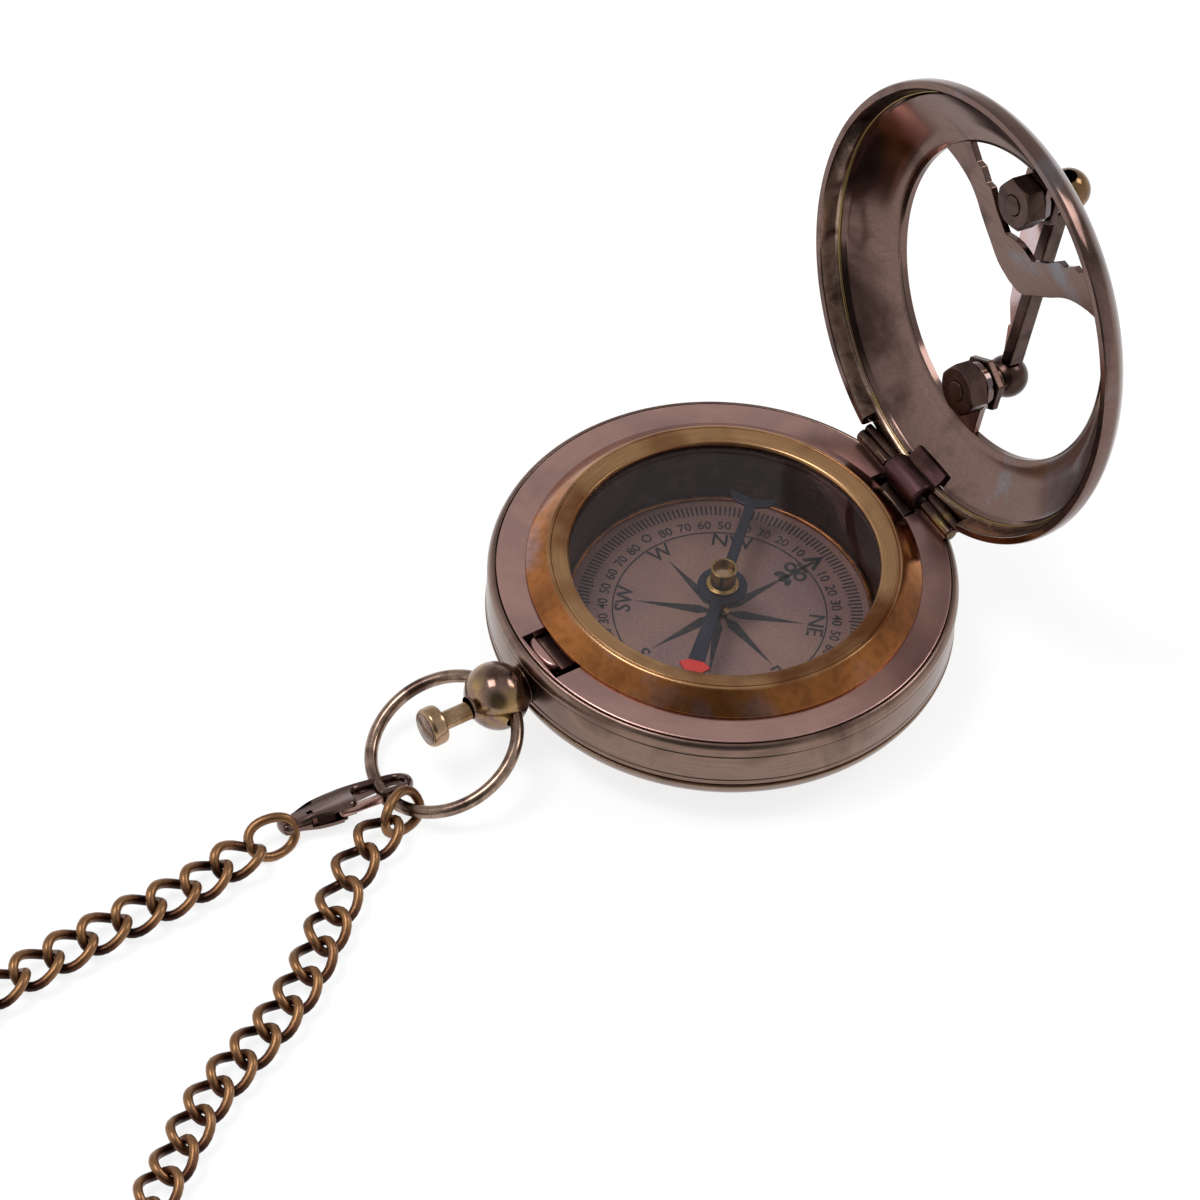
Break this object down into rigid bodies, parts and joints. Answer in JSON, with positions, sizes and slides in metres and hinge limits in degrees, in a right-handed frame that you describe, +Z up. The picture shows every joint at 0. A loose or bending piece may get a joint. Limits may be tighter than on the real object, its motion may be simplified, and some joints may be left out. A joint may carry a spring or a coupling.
{
  "type": "sundial compass",
  "caption": "Round pocket compass in antique bronze with a pierced spring lid, folding gnomon, push-button latch, bail ring and a fob chain with a lobster clasp.",
  "frame": {"origin": "middle of the case's flat foot, on the surface it stands on", "axes": "+Z up out of the dial, +Y towards the lid's hinge, -Y towards the push button and chain, +X along the hinge"},
  "size_m": [0.0807, 0.1934, 0.0612],
  "materials": {
    "case_back": "aged copper-bronze plating, satin",
    "case_band": "aged copper-bronze plating, satin",
    "top_plate": "aged rose-bronze plating, brushed",
    "inner_cup": "dark bronze",
    "dial": "printed satin dial",
    "dial_ring": "copper",
    "pivot_pin": "bright brass",
    "bezel": "polished brass with copper tint",
    "glass_ring": "dark gasket",
    "glass": "clear flat glass",
    "hinge_knuckle_left": "antique bronze plating",
    "hinge_knuckle_right": "antique bronze plating",
    "hinge_pin": "antique bronze plating",
    "lid_spring": "antique bronze plating",
    "pendant": "antique bronze plating",
    "latch_spring": "antique bronze plating",
    "chain_upper_run": "antique bronze plating",
    "chain_coil": "antique bronze plating",
    "chain_lower_run": "antique bronze plating",
    "chain_tie": "dark leather band",
    "lid_dome": "antique bronze plating",
    "lid_rim": "antique bronze plating",
    "lid_knuckle": "antique bronze plating",
    "upper_post": "antique bronze plating",
    "lower_post": "antique bronze plating",
    "upper_nut": "antique bronze plating",
    "lower_nut": "antique bronze plating",
    "upper_jam_nut": "antique bronze plating",
    "lower_jam_nut": "antique bronze plating",
    "gnomon": "antique bronze plating",
    "needle": "dark blued steel with a red end",
    "needle_cap": "bright brass",
    "button_head": "antique bronze plating",
    "button_stem": "antique bronze plating",
    "latch": "antique bronze plating",
    "bail_ring": "antique bronze plating",
    "clasp_body": "antique bronze plating",
    "clasp_pin": "antique bronze plating",
    "clasp_ring": "antique bronze plating",
    "end_link": "antique bronze plating",
    "clasp_gate": "antique bronze plating"
  },
  "bodies": {
    "case": {"case_back": "case_back", "case_band": "case_band", "top_plate": "top_plate", "inner_cup": "inner_cup", "dial": "dial", "dial_ring": "dial_ring", "pivot_pin": "pivot_pin", "bezel": "bezel", "glass_ring": "glass_ring", "glass": "glass", "hinge_knuckle_left": "hinge_knuckle_left", "hinge_knuckle_right": "hinge_knuckle_right", "hinge_pin": "hinge_pin", "lid_spring": "lid_spring", "pendant": "pendant", "latch_spring": "latch_spring", "chain_upper_run": "chain_upper_run", "chain_coil": "chain_coil", "chain_lower_run": "chain_lower_run", "chain_tie": "chain_tie"},
    "lid": {"lid_dome": "lid_dome", "lid_rim": "lid_rim", "lid_knuckle": "lid_knuckle", "upper_post": "upper_post", "lower_post": "lower_post", "upper_nut": "upper_nut", "lower_nut": "lower_nut", "upper_jam_nut": "upper_jam_nut", "lower_jam_nut": "lower_jam_nut"},
    "gnomon_blade": {"gnomon": "gnomon"},
    "compass_needle": {"needle": "needle", "needle_cap": "needle_cap"},
    "push_button": {"button_head": "button_head", "button_stem": "button_stem"},
    "latch_slider": {"latch": "latch"},
    "bail": {"bail_ring": "bail_ring", "clasp_body": "clasp_body", "clasp_pin": "clasp_pin", "clasp_ring": "clasp_ring", "end_link": "end_link"},
    "gate": {"clasp_gate": "clasp_gate"}
  },
  "joints": [
    {"name": "lid_hinge", "type": "hinge", "parent": "case", "child": "lid", "pos_m": [0, 0.024, 0.0128], "axis": [1, 0, 0], "range_deg": [0, 99.8]},
    {"name": "gnomon_fold", "type": "hinge", "parent": "lid", "child": "gnomon_blade", "pos_m": [0, 0.037, 0.03643], "axis": [0, -0.1702, -0.9854], "range_deg": [0, 90]},
    {"name": "needle_turn", "type": "hinge", "parent": "case", "child": "compass_needle", "pos_m": [0, 0, 0.009], "axis": [0, 0, 1], "continuous": true},
    {"name": "button_press", "type": "slide", "parent": "case", "child": "push_button", "axis": [0, 1, 0], "range_m": [0, 0.0012], "stiffness_N_per_m": 400},
    {"name": "latch_slide", "type": "slide", "parent": "case", "child": "latch_slider", "axis": [0, 1, 0], "range_m": [0, 0.0012]},
    {"name": "bail_swing", "type": "hinge", "parent": "case", "child": "bail", "pos_m": [0, -0.028, 0.007], "axis": [-1, 0, 0], "range_deg": [0, 90]},
    {"name": "gate_open", "type": "hinge", "parent": "bail", "child": "gate", "pos_m": [-0.00032, -0.04781, 0.00315], "axis": [-0.9397, 0, -0.342], "range_deg": [0, 20], "stiffness_Nm_per_rad": 0.002}
  ],
  "couplings": [
    {"joint": "latch_slide", "follows": "button_press", "ratio": 1}
  ]
}
